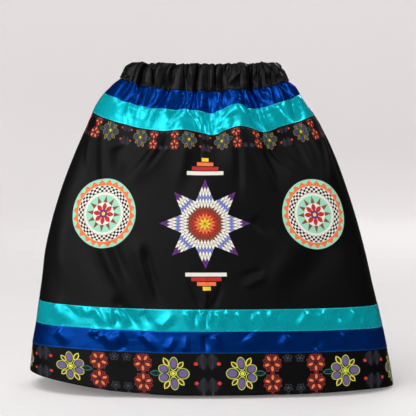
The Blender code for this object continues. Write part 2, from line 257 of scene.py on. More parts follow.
LARGE_FOLDS = table(FOLD_COLUMNS, FOLD_UNITS, """
 105 55  120   0  10  50  380
 200 50 -115   0  20  40  340
 310 50   50   0  30  30  300
 420 32   60  60   0  20  220
 540 28  -40 -70 -10   0  200
 640 42  100 150 -20 -20  220
 735 30  -45 -80   0  20  220
 790 45 -100   0 -20  60  320
 885 52  115   0  -5  60  400
 500 45   50   0   0 140  460
 170 95   60  95   0 360 1600
 300 34  -70   0  60 360 1200
 640 70  -50   0  20 400 1400
 860 90   60  85   0 400 1500
1090 50   90   0   5  50  360
1190 48  -85   0  15  40  330
1300 40   70  60  10  10  240
1412 32  -50 -60   0  10  220
1500 50   70  50   0  20  420
1600 34  -55 -60   0  20  240
1700 42   80  80 -10  10  260
1800 48  -85   0 -15  50  340
1905 50   90   0   0  50  380
1240 80   60  30   0 360 1500
1420 45  -70   0  20 380 1300
1720 60  -60   0 -30 360 1300
1860 80   50  40   0 400 1500
""")
FADE_IN = 0.35  # share of a fold's run over which it rises, and the rest of it is its fading
FADE_OUT = 0.65
GATHER_SPREADS = 0.8  # how much wider a fold is at its foot than at its head
BAND_DEEPENS = 0.40  # how much deeper the gathers are in the waistband than at its seam
BAND_DEEPENS_OVER = 0.020
print(len(GATHERS), "gathers and", len(LARGE_FOLDS), "large folds")

# %% [markdown]
# ## The form
#
# Each fold is a bell-shaped bump across the cloth. It rises and fades along its run, and leans and
# widens on its way down. The form is the oval moved out by all of them. To lay cloth on it, three
# directions are needed at every point: out of the form, down it and round it.

# %% Form
def around_the_seam(difference):
    """A difference of two places, taken the short way round the skirt."""
    return (difference + 1) % 2 - 1


def folds(down, places):
    """How far the folds take the cloth out and up at one distance down it."""
    out = np.zeros(len(places))
    up = np.zeros(len(places))
    for fold in GATHERS + LARGE_FOLDS:
        run = fold["bottom"] - fold["top"]
        rises = smooth((down - fold["top"]) / (FADE_IN * run)) if fold["top"] > -BAND_HEIGHT else 1.0
        strength = rises * smooth((fold["bottom"] - down) / (FADE_OUT * run))
        strength *= 1 + BAND_DEEPENS * smooth(-down / BAND_DEEPENS_OVER)
        below = np.clip(down / fold["bottom"], 0, 1)
        away = around_the_seam(places - fold["place"] - fold["lean"] * below)
        bump = strength * np.exp(-((away / (fold["width"] * (1 + GATHER_SPREADS * below))) ** 2))
        out += fold["depth"] * bump
        up += fold["lift"] * bump
    return out, up


def form(down, places):
    """Points of the skirt's form along one line of the cloth."""
    places = np.asarray(places, float)
    measures = section(down)
    share = smooth(down / SKIRT_LENGTH)
    squareness = SQUARENESS_AT_WAIST + (SQUARENESS_AT_HEM - SQUARENESS_AT_WAIST) * share
    x, y, out_x, out_y = oval(measures, squareness, places)
    side = np.where(x < 0, measures["left_seam"], measures["right_seam"])
    reach = np.abs(x) / np.where(x < 0, measures["left"], measures["right"])
    z = measures["centre"] + (side - measures["centre"]) * reach**SEAM_CURVE
    out, up = folds(down, places)
    return np.stack([x + out * out_x, y + out * out_y, z + up], axis=1)


def directions(down, places):
    """Unit vectors out of the form, down it and round it, along one line. The waistband's are level."""
    step = 0.002
    around = form(down, places + step) - form(down, places - step)
    level = down <= 0
    if level:
        along = np.tile((0.0, 0.0, -1.0), (len(places), 1))
    else:
        along = form(min(down + step, SKIRT_LENGTH), places) - form(down - step, places)
    away = np.cross(along, around)
    if level:
        away[:, 2] = 0
    return [vectors / np.linalg.norm(vectors, axis=1)[:, None] for vectors in (away, along, around)]


def half_loop(down):
    """Length of half the skirt's loop at one distance down."""
    line = form(down, np.linspace(0, 1, 201))
    return float(np.linalg.norm(np.diff(line, axis=0), axis=1).sum())


LOOP_DOWNS = np.linspace(-BAND_HEIGHT, SKIRT_LENGTH, 40)
LOOPS = np.array([half_loop(down) for down in LOOP_DOWNS])
print("half loops at the waist and the hem:", round(half_loop(0.0), 3), round(half_loop(SKIRT_LENGTH), 3))

# %% [markdown]
# ## Creases
#
# A crease is a soft trough or ridge along a short line of the cloth, deepest near its start. They are
# placed one by one, because no two are alike: from (place, down) to (to_place, to_down), with a width
# and a depth, below zero for a trough. Skew makes one flank longer than the other, as where the cloth
# leans over. The satin ribbons get the crispest ones, because their shine shows each of them. Places
# are in thousandths of half the skirt, downs in millimetres, widths and depths in tenths of one, and
# skews in tenths.

# %% Creases
CREASE_COLUMNS = "place down to_place to_down width depth skew"
CREASE_UNITS = (1000, 1000, 1000, 1000, TENTHS, TENTHS, 10)
PANEL_CREASES = table(CREASE_COLUMNS, CREASE_UNITS, """
362  98 252 240 130  42  4
376 104 300 200  75 -24  0
330 112 262 190  45 -12  0
118 106 204 262  85 -46  0
 80 108 150 240  90  36  0
190 140 240 210 140 -34  0
484  98 484 190  30 -12  0
440 112 410 245 130  24  0
618 100 598 260  95 -36  0
664 100 732 262 125  40 -3
716 112 792 205  95 -34  0
770 120 815 200 100  20  0
840 112 852 215 120 -36  3
938 118 884 240  75  36  0
968 130 930 270 100 -28  0
210 335 310 492 120  36  3
236 325 312 445 110 -40  0
150 300 268 495 200 -40  0
312 330 370 490 130  32  0
338 350 392 505  90 -42  2
 88 300 150 500 200  30  0
496 500 497 395  60  26  0
486 495 452 420  50 -14  3
510 495 545 425  55 -16 -3
650 405 570 425  60 -16  3
655 420 580 450  80  18  0
624 292 700 345 100 -24  5
868 320 690 492 240 -44  0
760 330 640 470 200  30  0
945 330 900 490 180  24  0
262 470 352 556 110 -32  4
""")
WAIST_CREASES = table(CREASE_COLUMNS, CREASE_UNITS, """
 26  -6   70 110 120  30  3
 70  -6  150  90  90  34 -4
110  -4  142  64  70 -26  0
156 -10  222 118  65  44  6
190   0  236 112  70 -34  0
210 -14  262  76  80  44  0
286  30  282 104  80 -30 -3
312 -12  268  66  60  40  4
318  -6  300  50  60 -34  0
358  24  276 108  90  32 -5
340 -12  366 108  95  36  0
384  46  408  -6  60  26  0
428  50  446 -10  70  34  4
358  94  462  30  62  24  0
404  34  512  98  62  28 -4
462 -12  500  84  50  46  3
488  36  492 112  60 -26  0
520 -10  526 128  70 -50  6
556 -10  566  70  55  34  0
570  30  530 110  62  30  0
558  98  624  40  80  36 -3
590   0  612  34  80  24  0
626  40  690  90  90  36  3
612  60  622 112  90 -24  0
664  18  752 112  70 -36  0
650  -6  664  40  70  26  0
716 -12  738  74  60 -44  0
744 -10  760  52  50  34  0
746  36  758 118  60  42  4
824 -12  780  70  70  40 -4
790   0  800  60  60 -32  0
812  40  826 100  85  30  5
866 -12  850  64  60  34  0
896  -6  914  70  70 -34  0
914 -12 1000  66  80  40  4
916  30  840 110  70 -30  0
950  40  890 120 100  30  0
996  20  980 110 100 -26  0
""")
HEM_CREASES = table(CREASE_COLUMNS, CREASE_UNITS, """
104 492 172 542 75  15  4
142 494 196 530 40 -10  0
188 489 209 522 40  11  0
219 489 208 522 36  10  3
220 492 256 538 40  14 -3
262 495 270 542 42  16  0
278 492 308 540 40  13  4
286 512 276 540 50  -8  0
446 497 466 540 38  12  0
474 497 463 536 32 -12  0
484 496 482 542 30  16  3
497 496 492 542 30 -16  0
508 498 500 536 32  12  0
520 498 534 542 36  13  4
540 500 562 512 32   8  0
570 498 586 540 34  10  0
604 497 596 524 30  -6  0
622 495 638 544 44  10  0
340 500 366 542 50 -11  0
380 540 424 500 55  13  3
640 500 694 538 55  14  3
664 498 668 540 60 -10  0
745 500 704 543 50  14  0
768 498 800 542 60  15 -3
812 500 822 530 50 -12  0
868 500 836 542 55  15  3
872 541 896 510 44  12  0
944 500 916 540 60  14  0
130 552 176 586 65  12  4
216 546 254 566 50  13  0
232 566 250 546 32  -9  0
246 548 288 592 60  16  3
282 548 306 586 48  13 -4
300 592 288 562 40  -9  0
336 548 384 590 46  14  3
444 592 446 552 36  10  0
490 550 493 594 34 -13  0
512 552 526 590 44  12  0
402 590 420 556 45  12  0
592 551 616 584 80  10  4
690 552 658 590 55  12  3
742 590 770 552 50 -11  0
826 552 794 590 60  12  0
872 590 896 554 60  12  3
""")
BAND_CREASES = table(CREASE_COLUMNS, CREASE_UNITS, """
   0 -50 135 12 30 -30  0
  58 -85  70 30 34 -42  0
 128 -85 134  4 30 -26  0
 164 -85 176 50 50 -70 -5
 198 -85 278 30 32 -38  0
 270 -85 258  0 30  16  0
 358 -85 295 40 44 -64  5
 380 -85 318  4 28 -26  0
 384 -85 410 20 28 -30  0
 402 -85 446 34 34 -42  0
 480 -85 447 45 42 -60 -4
 520 -85 520 32 34 -48  0
 556 -85 556 24 30 -32  0
 620 -85 562 48 50 -74 -5
 660 -85 606  4 28 -24  0
 727 -85 610 -2 50  30  0
 752 -85 714 48 46 -68  4
 808 -85 735 12 30 -30  0
 818 -85 765 38 36 -42  0
 828 -85 856  4 46  26  0
 886 -85 835 36 36 -48  0
 990 -85 860 22 34 -38  0
1000 -65 895 20 32 -32  0
 945 -85 950 30 34 -44  0
""")
print(sum(map(len, (PANEL_CREASES, WAIST_CREASES, HEM_CREASES, BAND_CREASES))), "creases on the front")

# %% [markdown]
# ## The relief of the creases
#
# Pressed satin creases as paper does, and not as a wave: flat flanks meet in a narrow crest. So the
# profile of a crease is a tent whose crest and foot are a little round. A wide one is a soft swell. The
# back has creases of the same kind, the other way round and each of another size.

# %% Relief
CREASE_RISES_OVER = 0.22  # share of a crease's length over which it rises, then fades
CREASE_FADES_OVER = 0.55
CREST_ROUND = 0.12  # how round the crest is, and the foot of the flanks, in widths
FOOT_ROUND = 0.22
FOOT_LEFT = 0.02  # about what that rounding leaves just past the foot
SOFT_FROM = 0.0150  # a crease as wide as this is a soft swell, with no flat flanks
BACK_SIZES = (0.8, 1.1, 0.65, 0.95, 1.2, 0.75, 1.0)  # of the back's creases, against the front's
BACK_USUAL = 0.9  # a crease of this size keeps its place, and others shift by their difference
BACK_SHIFT = 0.02


def on_the_back(creases):
    """Creases of the same kind on the back: the front's, the other way round and of other sizes."""
    mirrored = []
    for k, crease in enumerate(creases):
        size = BACK_SIZES[k % len(BACK_SIZES)]
        shift = BACK_SHIFT * (size - BACK_USUAL)
        ends = {
            "place": 2 - crease["place"] + shift,
            "to_place": 2 - crease["to_place"] + shift * size,
            "to_down": crease["down"] + (crease["to_down"] - crease["down"]) * min(size, 1.0),
        }
        mirrored.append({**crease, **ends, "depth": crease["depth"] * size})
    return mirrored


def sized(creases, deeper, wider):
    """The same creases, so many times deeper and wider."""
    return [{**row, "width": row["width"] * wider, "depth": row["depth"] * deeper} for row in creases]


def tent(beside):
    """The profile of a crease: 1 on its crest, flat flanks, and round where they meet and end."""
    flank = 1 + CREST_ROUND - np.sqrt(beside**2 + CREST_ROUND**2)
    return 0.5 * (flank + np.sqrt(flank**2 + FOOT_ROUND**2)) - FOOT_LEFT


def relief(down, places):
    """How far the creases take the cloth out, along one line of it."""
    out = np.zeros(len(places))
    for crease in CREASES:
        reach = 3 * crease["width"]
        ends = sorted((crease["down"], crease["to_down"]))
        if not ends[0] - reach < down < ends[1] + reach:
            continue
        loop = np.interp(0.5 * sum(ends), LOOP_DOWNS, LOOPS)
        run = np.array([(crease["to_place"] - crease["place"]) * loop, crease["to_down"] - crease["down"]])
        length = np.hypot(*run)
        run /= length
        x = around_the_seam(places - crease["place"]) * loop
        y = down - crease["down"]
        along = (x * run[0] + y * run[1]) / length
        beside = (x * run[1] - y * run[0]) / crease["width"]
        wider = 1 + abs(crease["skew"])
        beside = np.where(beside * crease["skew"] > 0, beside / wider, beside)
        ends = smooth(along / CREASE_RISES_OVER) * smooth((1 - along) / CREASE_FADES_OVER)
        soft = crease["width"] > SOFT_FROM
        out += crease["depth"] * ends * (np.exp(-(beside**2)) if soft else tent(beside))
    return out


ON_THE_FRONT = (
    sized(BAND_CREASES, 2.2, 1.45)
    + sized(PANEL_CREASES, 1.5, 1.2)
    + sized(WAIST_CREASES, 1.40, 1.70)
    + sized(HEM_CREASES, 2.7, 2.3)
)
CREASES = ON_THE_FRONT + on_the_back(ON_THE_FRONT)
print(len(CREASES), "creases")

# %% [markdown]
# ## A piece of cloth
#
# Each piece starts as a flat grid, as a cloth starts as a flat weave. Its points are then moved onto
# the form, out by the crease relief and by the layers under it. A Solidify modifier gives it the
# thickness of cloth. Its wrong side gets a finish of its own, because print doesn't reach it. The UV
# map holds the cloth's own coordinates in metres, so that a pattern lies as it was printed when flat.

# %% Cloth maker
UV_NAME = "cloth"
EDGE_RIDES_UP = 0.0030  # of the waistband's lower edge, over the puffs of the ribbon below it
EDGE_RIDES_OVER = 0.030  # height over which that fades out
PLEAT_DEEP = 0.005  # at this depth a trough's edge stays down
RIDES_AT_MOST = 1.15


def placed(downs, outs, places, lifts=0.0):
    """Points of rows of cloth on the form, at these places of each row. Lifts is how much of the
    relief also goes up, as in pleats that stand on end."""
    rows = []
    for down, out in zip(downs, outs):
        away, _, _ = directions(down, places)
        crease = relief(down, places)
        points = form(down, places) + (out + crease)[:, None] * away
        points[:, 2] += lifts * crease * smooth(-down / BAND_HEIGHT)
        if lifts:  # between the pleats the lower edge rides up
            rides = np.clip(1 + crease / PLEAT_DEEP, 0, RIDES_AT_MOST)
            points[:, 2] += EDGE_RIDES_UP * rides * smooth(1 + down / EDGE_RIDES_OVER)
        rows.append(points)
    return np.array(rows)


def linked(name, bm, finishes):
    """An object in the scene, made of what a bmesh holds and smooth all over."""
    for face in bm.faces:
        face.smooth = True
    mesh = bpy.data.meshes.new(name)
    bm.to_mesh(mesh)
    bm.free()
    for finish in finishes:
        mesh.materials.append(finish)
    made = bpy.data.objects.new(name, mesh)
    bpy.context.scene.collection.objects.link(made)
    return made


def cloth(name, first, rows, columns, thickness, finishes, from_edge=0.0, lifts=0.0):
    """A sheet over half the skirt, from this seam on. Rows are (down, out) pairs, from top to bottom
    of the outer face. Finishes are the materials of the right side and the wrong side, and from_edge
    is the distance down at which the UV map begins."""
    bm = bmesh.new()
    bmesh.ops.create_grid(bm, x_segments=columns, y_segments=len(rows) - 1, size=0.5)
    piece = linked(name, bm, finishes)
    mesh = piece.data
    flat = np.empty(len(mesh.vertices) * 3, np.float32)
    mesh.vertices.foreach_get("co", flat)
    column = np.rint((flat[0::3] + 0.5) * columns).astype(int)
    row = np.rint((0.5 - flat[1::3]) * (len(rows) - 1)).astype(int)

    downs, outs = np.array(rows).T
    places = first + np.linspace(SEAM, 1 - SEAM, columns + 1)
    points = placed(downs, outs, places, lifts)
    mesh.vertices.foreach_set("co", points[row, column].astype(np.float32).ravel())

    corners = np.empty(len(mesh.loops), np.int32)
    mesh.loops.foreach_get("vertex_index", corners)
    across = (column / columns - 0.5) * cut_width(downs[row], PRINT_AT_HEM)
    spots = np.stack([across, downs[row] - from_edge], axis=1)[corners]
    mesh.uv_layers.new(name=UV_NAME).data.foreach_set("uv", spots.astype(np.float32).ravel())
    mesh.update()
    shell = piece.modifiers.new("thickness of the cloth", "SOLIDIFY")
    shell.thickness = thickness
    shell.offset = -1.0
    shell.use_quality_normals = True
    shell.material_offset = 1
    shell.material_offset_rim = 0
    return piece


def dress(piece, node):
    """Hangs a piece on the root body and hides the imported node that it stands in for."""
    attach(piece, "root")
    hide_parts(node)
    return piece


print("cloth is", PANEL_CLOTH, "m thick, ribbon", RIBBON_CLOTH)

# %% [markdown]
# ## Sums in a material
#
# A printed pattern is arithmetic: how far is this spot of the cloth from the middle of a flower, and in
# which direction? In the editor that takes a few hundred Math nodes. Here a small class wraps a socket
# so that Python's own operators add those nodes, and one method makes any other node.

# %% Sockets with operators
class Wire:
    """A socket of a shader node that takes part in sums as a number does."""

    def __init__(self, socket):
        self.socket = socket

    @classmethod
    def node(cls, tree, kind, settings=None, inputs=None, output=0):
        """A new node: its settings first, then the values or wires of its sockets."""
        made = tree.nodes.new("ShaderNode" + kind)
        for name, value in (settings or {}).items():
            if name == "stops":
                while len(made.color_ramp.elements) < len(value):
                    made.color_ramp.elements.new(1.0)
                for element, (position, colour) in zip(made.color_ramp.elements, value):
                    element.position = position
                    element.color = colour
            elif name == "interpolation":
                made.color_ramp.interpolation = value
            else:
                setattr(made, name, value)
        for name, value in (inputs or {}).items():
            if isinstance(value, Wire):
                tree.links.new(value.socket, made.inputs[name])
            else:
                made.inputs[name].default_value = value
        return cls(made.outputs[output])

    def to(self, operation, *others, clamp=False):
        """A Math node with this wire first."""
        values = dict(enumerate((self, *others)))
        return self.node(self.socket.id_data, "Math", {"operation": operation, "use_clamp": clamp}, values)

    def after(self, operation, first):
        """A Math node with this wire second, as in 1.0 - wire."""
        values = {0: first, 1: self}
        return self.node(self.socket.id_data, "Math", {"operation": operation}, values)

    def __add__(self, other):
        return self.to("ADD", other)

    def __sub__(self, other):
        return self.to("SUBTRACT", other)

    def __rsub__(self, other):
        return self.after("SUBTRACT", other)

    def __mul__(self, other):
        return self.to("MULTIPLY", other)

    def __truediv__(self, other):
        return self.to("DIVIDE", other)

    def __abs__(self):
        return self.to("ABSOLUTE")

    __radd__ = __add__
    __rmul__ = __mul__


print("sums in a material: ready")

# %% [markdown]
# ## Masks and paint
#
# A mask is a number for each spot of the cloth: 1 where a colour is painted, 0 where it isn't, and
# between them on a soft edge. A print is then layers of paint, each with its mask, one over another.
# Noise stretched along the threads makes the cloth look woven.

# %% Masks and paint
def within(distance, edge, soft):
    """1 where the distance is under the edge, 0 past it, with a soft step between."""
    return ((edge - distance) / soft + 0.5).to("ADD", 0.0, clamp=True)


def on_line(distance, edge, half, soft):
    """1 on a line of this half width along the edge of a shape."""
    return within(abs(distance - edge), half, soft)


def opaque(colour):
    """A colour as a socket takes it, with its alpha. A wire stays a wire."""
    return (*colour, 1.0) if isinstance(colour, tuple) and len(colour) == 3 else colour


def painted(base, mask, colour):
    """The base colour with another one painted over it where the mask is 1."""
    tree = mask.socket.id_data
    base, colour = opaque(base), opaque(colour)
    settings = {"data_type": "RGBA", "blend_type": "MIX"}
    return Wire.node(tree, "Mix", settings, {0: mask, 6: base, 7: colour}, output=2)


def over(base, *layers):
    """Colours painted over the base one after another, each given as a mask and a colour."""
    for mask, colour in layers:
        base = painted(base, mask, colour)
    return base


def fibre(tree, x, y, scale, detail=2.0):
    """Noise over the cloth, stretched as its scales across and down say."""
    where = Wire.node(tree, "CombineXYZ", inputs={0: x * scale[0], 1: y * scale[1]})
    return Wire.node(tree, "TexNoise", inputs={"Vector": where, "Scale": 1.0, "Detail": detail})


def cloth_coordinates(tree):
    """Metres across and down the flat cloth."""
    where = Wire.node(tree, "UVMap", {"uv_map": UV_NAME})
    across = Wire.node(tree, "SeparateXYZ", inputs={0: where})
    return across, Wire(across.socket.node.outputs[1])


def new_finish(name):
    """A material with a bare Principled shader, its node tree and that shader."""
    material = bpy.data.materials.new(name)
    material.use_nodes = True
    return material, material.node_tree, material.node_tree.nodes["Principled BSDF"]


def feed(shader, **sockets):
    """Sets or links sockets of a shader, named with _ for a space."""
    for name, value in sockets.items():
        socket = shader.inputs[name.replace("_", " ")]
        if isinstance(value, Wire):
            shader.id_data.links.new(value.socket, socket)
        else:
            socket.default_value = opaque(value)


def bumped(tree, height, distance=1.0):
    """A normal that follows a height of so many metres."""
    return Wire.node(tree, "Bump", inputs={"Height": height, "Distance": distance})


print("masks, paint and bumps: ready")

# %% [markdown]
# ## Satin ribbon
#
# Polyester satin is all floats: long threads lie side by side, so it mirrors light almost as metal does,
# in its own colour, and goes nearly black where there is nothing bright to mirror. Hence the part
# metallic finish. A narrow strip along each edge is painted a little lighter, and the stitching puckers
# the cloth beside it.

# %% Satin
COARSE_THREAD = (55.0, 900.0)  # noise scales across and down the cloth, per metre
PUCKERS, PUCKER_HEIGHT = (150.0, 26.0), 0.00022  # at the stitching
COCKLES, COCKLE_HEIGHT = (34.0, 30.0), 0.00050  # the soft unevenness all over
LIGHTER_EDGE = 0.0012  # width of a ribbon's lighter edge
PUCKERED = 0.0060  # how far in from the edge the stitching puckers it
PLAIN_THREAD = (420.0, 420.0)


def satin(name, colour, edge_colour, roughness, metallic, coat):
    """Ribbon satin in one colour. Its UV map runs down from the ribbon's own upper edge."""
    finish, tree, shader = new_finish(name)
    x, y = cloth_coordinates(tree)
    from_edge = (RIBBON_WIDTH / 2) - abs(y - RIBBON_WIDTH / 2)
    threads = fibre(tree, x, y, COARSE_THREAD)
    tint = (threads - 0.5) * 0.08
    darker = tuple(0.72 * channel for channel in colour)
    base = painted(colour, (tint + 0.18).to("ADD", 0.0, clamp=True), darker)
    # A narrow strip along each edge, painted a little lighter
    base = painted(base, within(from_edge, LIGHTER_EDGE, 0.0006) * 0.55, edge_colour)
    pucker = fibre(tree, x, y, PUCKERS, detail=1.0) - 0.5
    near_stitching = 0.25 + within(from_edge, PUCKERED, 0.0080)
    cockle = fibre(tree, x, y, COCKLES, detail=1.0) - 0.5
    relief = pucker * near_stitching * PUCKER_HEIGHT + cockle * COCKLE_HEIGHT
    uneven = roughness + cockle * 0.06
    feed(shader, Base_Color=base, Roughness=uneven, Normal=bumped(tree, relief))
    feed(shader, Metallic=metallic, Specular_Tint=edge_colour, Coat_Weight=coat, Coat_Roughness=0.14)
    return finish


def wrong_side(name, colour):
    """The back of a cloth, which has no print and hardly any shine."""
    finish, tree, shader = new_finish(name)
    x, y = cloth_coordinates(tree)
    threads = fibre(tree, x, y, PLAIN_THREAD)
    darker = tuple(0.7 * channel for channel in colour)
    feed(shader, Base_Color=painted(colour, threads, darker), Roughness=0.8)
    feed(shader, Normal=bumped(tree, threads, 0.00004))
    return finish


blue = satin("blue_satin", (0.001, 0.062, 0.400), (0.003, 0.150, 0.620), 0.28, 0.85, 0.06)
turquoise = satin("turquoise_satin", (0.004, 0.640, 0.740), (0.050, 0.800, 0.860), 0.27, 0.60, 0.20)
blue_back = wrong_side("blue_wrong_side", (0.006, 0.040, 0.240))
turquoise_back = wrong_side("turquoise_wrong_side", (0.010, 0.330, 0.390))
black_back = wrong_side("black_wrong_side", (0.011, 0.010, 0.011))
print([m.name for m in (blue, turquoise, blue_back, turquoise_back, black_back)])

# %% [markdown]
# ## Shapes for the print
#
# The print is drawn as a designer cuts stencils: a petal is an ellipse a little way out from the middle
# of its flower, a leaf is the lens between two circles, and a line is a narrow strip along an edge. All
# of these start from an offset from some middle point, turned to lie along the shape.

# %% Shapes
def turned(dx, dy, degrees):
    """The same offset, in axes turned by so many degrees."""
    cosine, sine = math.cos(math.radians(degrees)), math.sin(math.radians(degrees))
    return dx * cosine + dy * sine, dy * cosine - dx * sine


def length(dx, dy):
    """How far an offset reaches."""
    return (dx * dx + dy * dy).to("SQRT")


def ellipse(u, v, middle, half_long, half_wide):
    """Distance from an ellipse's middle, out along u: 1 on its edge."""
    return length((u - middle) / half_long, v / half_wide)


def leaf(u, v, middle, half_long, half_wide):
    """As an ellipse, but pointed at both ends."""
    along = (u - middle) / half_long
    return along * along + abs(v) / half_wide


def spokes(dx, dy, count, degrees=0.0):
    """The offset folded into one of count equal petals, whose middle line is then u."""
    if degrees:
        dx, dy = turned(dx, dy, degrees)
    reach = length(dx, dy)
    angle = dy.to("ARCTAN2", dx).to("PINGPONG", math.pi / count)
    return reach * angle.to("COSINE"), reach * angle.to("SINE")


def discs(base, reach, soft, *sizes):
    """Round spots on top of one another, each a radius and a colour."""
    return over(base, *((within(reach, radius, soft), colour) for radius, colour in sizes))


print("shapes: turned, ellipse, leaf, spokes, discs")

# %% [markdown]
# ## The floral border
#
# The border is a roller print: one cell repeats along the cloth, mirrored both ways, so only a quarter
# of it is drawn. S runs along the cloth from the nearest feathered stem, and q across it from the middle
# line of the flowers. The hem has the print at full size. The band under the upper ribbons is the same
# print, smaller.

# %% Colours and measures of the border
VIOLET = (0.127, 0.090, 0.235)
VIOLET_LIGHT = (0.270, 0.200, 0.430)
VIOLET_DARK = (0.018, 0.022, 0.050)
LIME = (0.640, 0.720, 0.085)
LIME_DARK = (0.110, 0.120, 0.050)
LEAF_RED = (0.135, 0.006, 0.010)
POLLEN = (0.830, 0.720, 0.050)
INK = (0.006, 0.005, 0.006)
MAROON = (0.060, 0.005, 0.009)
RED_LINE = (0.270, 0.022, 0.022)
ORANGE = (0.800, 0.180, 0.045)
TEAL = (0.030, 0.125, 0.100)
SLATE = (0.050, 0.053, 0.075)
BERRY = (0.520, 0.022, 0.018)

HALF_REPEAT = 0.181  # from one feathered stem to the next
FLOWER_ROWS = 0.090  # from one middle line of the flowers to the next
HEM_PRINT = {"across": -0.0055, "down": LOWER_BOTTOM + 0.045, "scale_across": 1.0, "scale_down": 1.0}
TOP_PRINT = {"across": 0.003, "down": 0.115, "scale_across": 0.60, "scale_down": 0.56}
TOP_PRINT_REACHES = (0.098, 0.138)
PRINT_EDGE_SOFT = 0.0007
SOFT = 0.10  # softness of a petal's edge, in parts of the petal

VIOLET_FLOWER_AT = 0.072  # this flower and the dark leaf lie on the middle line, so they have no q
DARK_LEAF_AT = 0.1085
RED_FLOWER_AT = (0.135, 0.0225)  # the others have an s and a q
OUTLINED_FLOWER_AT = (0.168, 0.0340)
FEATHER_AT = (0.0115, 0.0285)
BERRY_AT, BERRY_SHINE_AT = (0.0240, 0.0220), (0.0228, 0.0208)
VIOLET_LEAVES = (  # direction in degrees, then how far out the middle is, half length and half width
    (62, 0.0292, 0.0104, 0.0052),
    (130, 0.0252, 0.0090, 0.0047),
)
VIOLET_PETALS = (
    (95, 0.0222, 0.0152, 0.0090),
    (27, 0.0208, 0.0122, 0.0104),
    (180, 0.0202, 0.0140, 0.0126),
)
RED_SEPAL = (0.0170, 0.0065, 0.0042)  # the same measures, for petals that go round in fives
RED_PETAL = (0.0132, 0.0092, 0.0078)
RED_DROP = (0.0130, 0.0058, 0.0033)
OUTLINED_PETAL = (0.0055, 0.0040, 0.0032)
RED_FLOWER_NARROW = 1.14  # how much narrower than tall the red flower is
VEINS = 2300.0  # radians a metre, so a vein every 2.7 mm
BARBS = 900.0  # and a barb every 7 mm
FEATHER_BENDS = 9.0
print("repeat", 2 * HALF_REPEAT, "m along the cloth")

# %% [markdown]
# ## Flowers, leaves and feathers
#
# Each motif paints itself over what is there already. The red flower's petals are alike, so one is
# drawn and the spokes repeat it. The violet flower's petals differ, so each has a row of its own. A
# petal is painted as a dark shape first, then its line, and then what fills it.

# %% Motifs
def violet_flower(base, s, q, small):
    """Large petals in a lime line with black between, small red leaves and a yellow eye."""
    dx, dy = s - VIOLET_FLOWER_AT, q
    petal_colour = painted(VIOLET, small * 0.75, VIOLET_DARK)
    line_colour = painted(LIME, small * 0.8, LIME_DARK)
    for degrees, *sizes in VIOLET_LEAVES:
        edge = leaf(*turned(dx, dy, degrees), *sizes)
        base = over(
            base, (within(edge, 1.0, SOFT), LEAF_RED), (on_line(edge, 0.92, 0.24, SOFT), line_colour)
        )
    for degrees, middle, half_long, half_wide in VIOLET_PETALS:
        u, v = turned(dx, dy, degrees)
        edge = ellipse(u, v, middle, half_long, half_wide)
        fill = ellipse(u, v, middle + 0.0008, half_long * 0.74, half_wide * 0.74)
        veins = (v * VEINS).to("SINE") * 0.12 + 0.14
        base = over(
            base,
            (within(edge, 1.0, SOFT), INK),
            (on_line(edge, 0.94, 0.055, SOFT), line_colour),
            (within(fill, 1.0, SOFT), petal_colour),
            (within(fill, 0.85, 0.5) * veins * (1.0 - small), VIOLET_LIGHT),
        )
    return discs(base, length(dx, dy), 0.0010, (0.0068, line_colour), (0.0050, INK), (0.0036, POLLEN))


def red_flower(base, s, q):
    """Five petals in a red line with an orange drop in each, and dark sepals between them."""
    dx, dy = (s - RED_FLOWER_AT[0]) * RED_FLOWER_NARROW, q - RED_FLOWER_AT[1]
    u, v = spokes(dx, dy, 5, degrees=-90.0)
    sepal = leaf(*spokes(dx, dy, 5, degrees=-54.0), *RED_SEPAL)
    petal = ellipse(u, v, *RED_PETAL)
    drop = ellipse(u, v, *RED_DROP)
    return over(
        base,
        (within(sepal, 1.0, SOFT), MAROON),
        (on_line(sepal, 0.85, 0.22, SOFT), RED_LINE),
        (within(petal, 1.0, SOFT), MAROON),
        (on_line(petal, 0.94, 0.075, SOFT), RED_LINE),
        (within(drop, 1.0, 1.5 * SOFT), ORANGE),
        (within(length(dx, dy), 0.0050, 0.0010), MAROON),
    )


def outlined_flower(base, s, q):
    """A small flower that is only an outline."""
    u, v = spokes(s - OUTLINED_FLOWER_AT[0], q - OUTLINED_FLOWER_AT[1], 5, degrees=20.0)
    petal = ellipse(u, v, *OUTLINED_PETAL)
    base = painted(base, on_line(petal, 0.90, 0.16, 0.15), SLATE)
    return painted(base, within(length(u, v), 0.0018, 0.0008), SLATE)


def feather(base, s, q):
    """A curved stem with slanting barbs on both sides, and a berry beside it."""
    along = q - FEATHER_AT[1]
    beside = s - FEATHER_AT[0] + along * along * FEATHER_BENDS
    barbs = ((along + abs(beside) * 1.2) * BARBS).to("SINE")
    blade = leaf(along, beside, 0.0, 0.0200, 0.0115) - barbs * 0.25
    lines = (barbs * 2.2 - 0.9).to("ADD", 0.0, clamp=True)
    stem = within(abs(beside), 0.0006, 0.0006) * within(abs(along), 0.0190, 0.002)
    return over(
        base,
        (within(blade, 0.80, 0.25) * lines, SLATE),
        (stem, SLATE),
        (within(length(s - BERRY_AT[0], q - BERRY_AT[1]), 0.0042, 0.0008), BERRY),
        (within(length(s - BERRY_SHINE_AT[0], q - BERRY_SHINE_AT[1]), 0.0012, 0.0010) * 0.8, ORANGE),
    )


def dark_leaf(base, s, q):
    """A black leaf in a teal outline, between the two flowers."""
    u, v = s - DARK_LEAF_AT, q
    edge = leaf(u, v, 0.0, 0.0125, 0.0060)
    rib = within(abs(v), 0.0004, 0.0005) * within(abs(u), 0.0090, 0.002)
    return over(base, (on_line(edge, 0.90, 0.20, 0.12), TEAL), (rib * 0.7, TEAL))


UNDER_THE_VIOLET = (feather, outlined_flower, dark_leaf, red_flower)
print("motifs:", ", ".join(motif.__name__ for motif in (*UNDER_THE_VIOLET, violet_flower)))

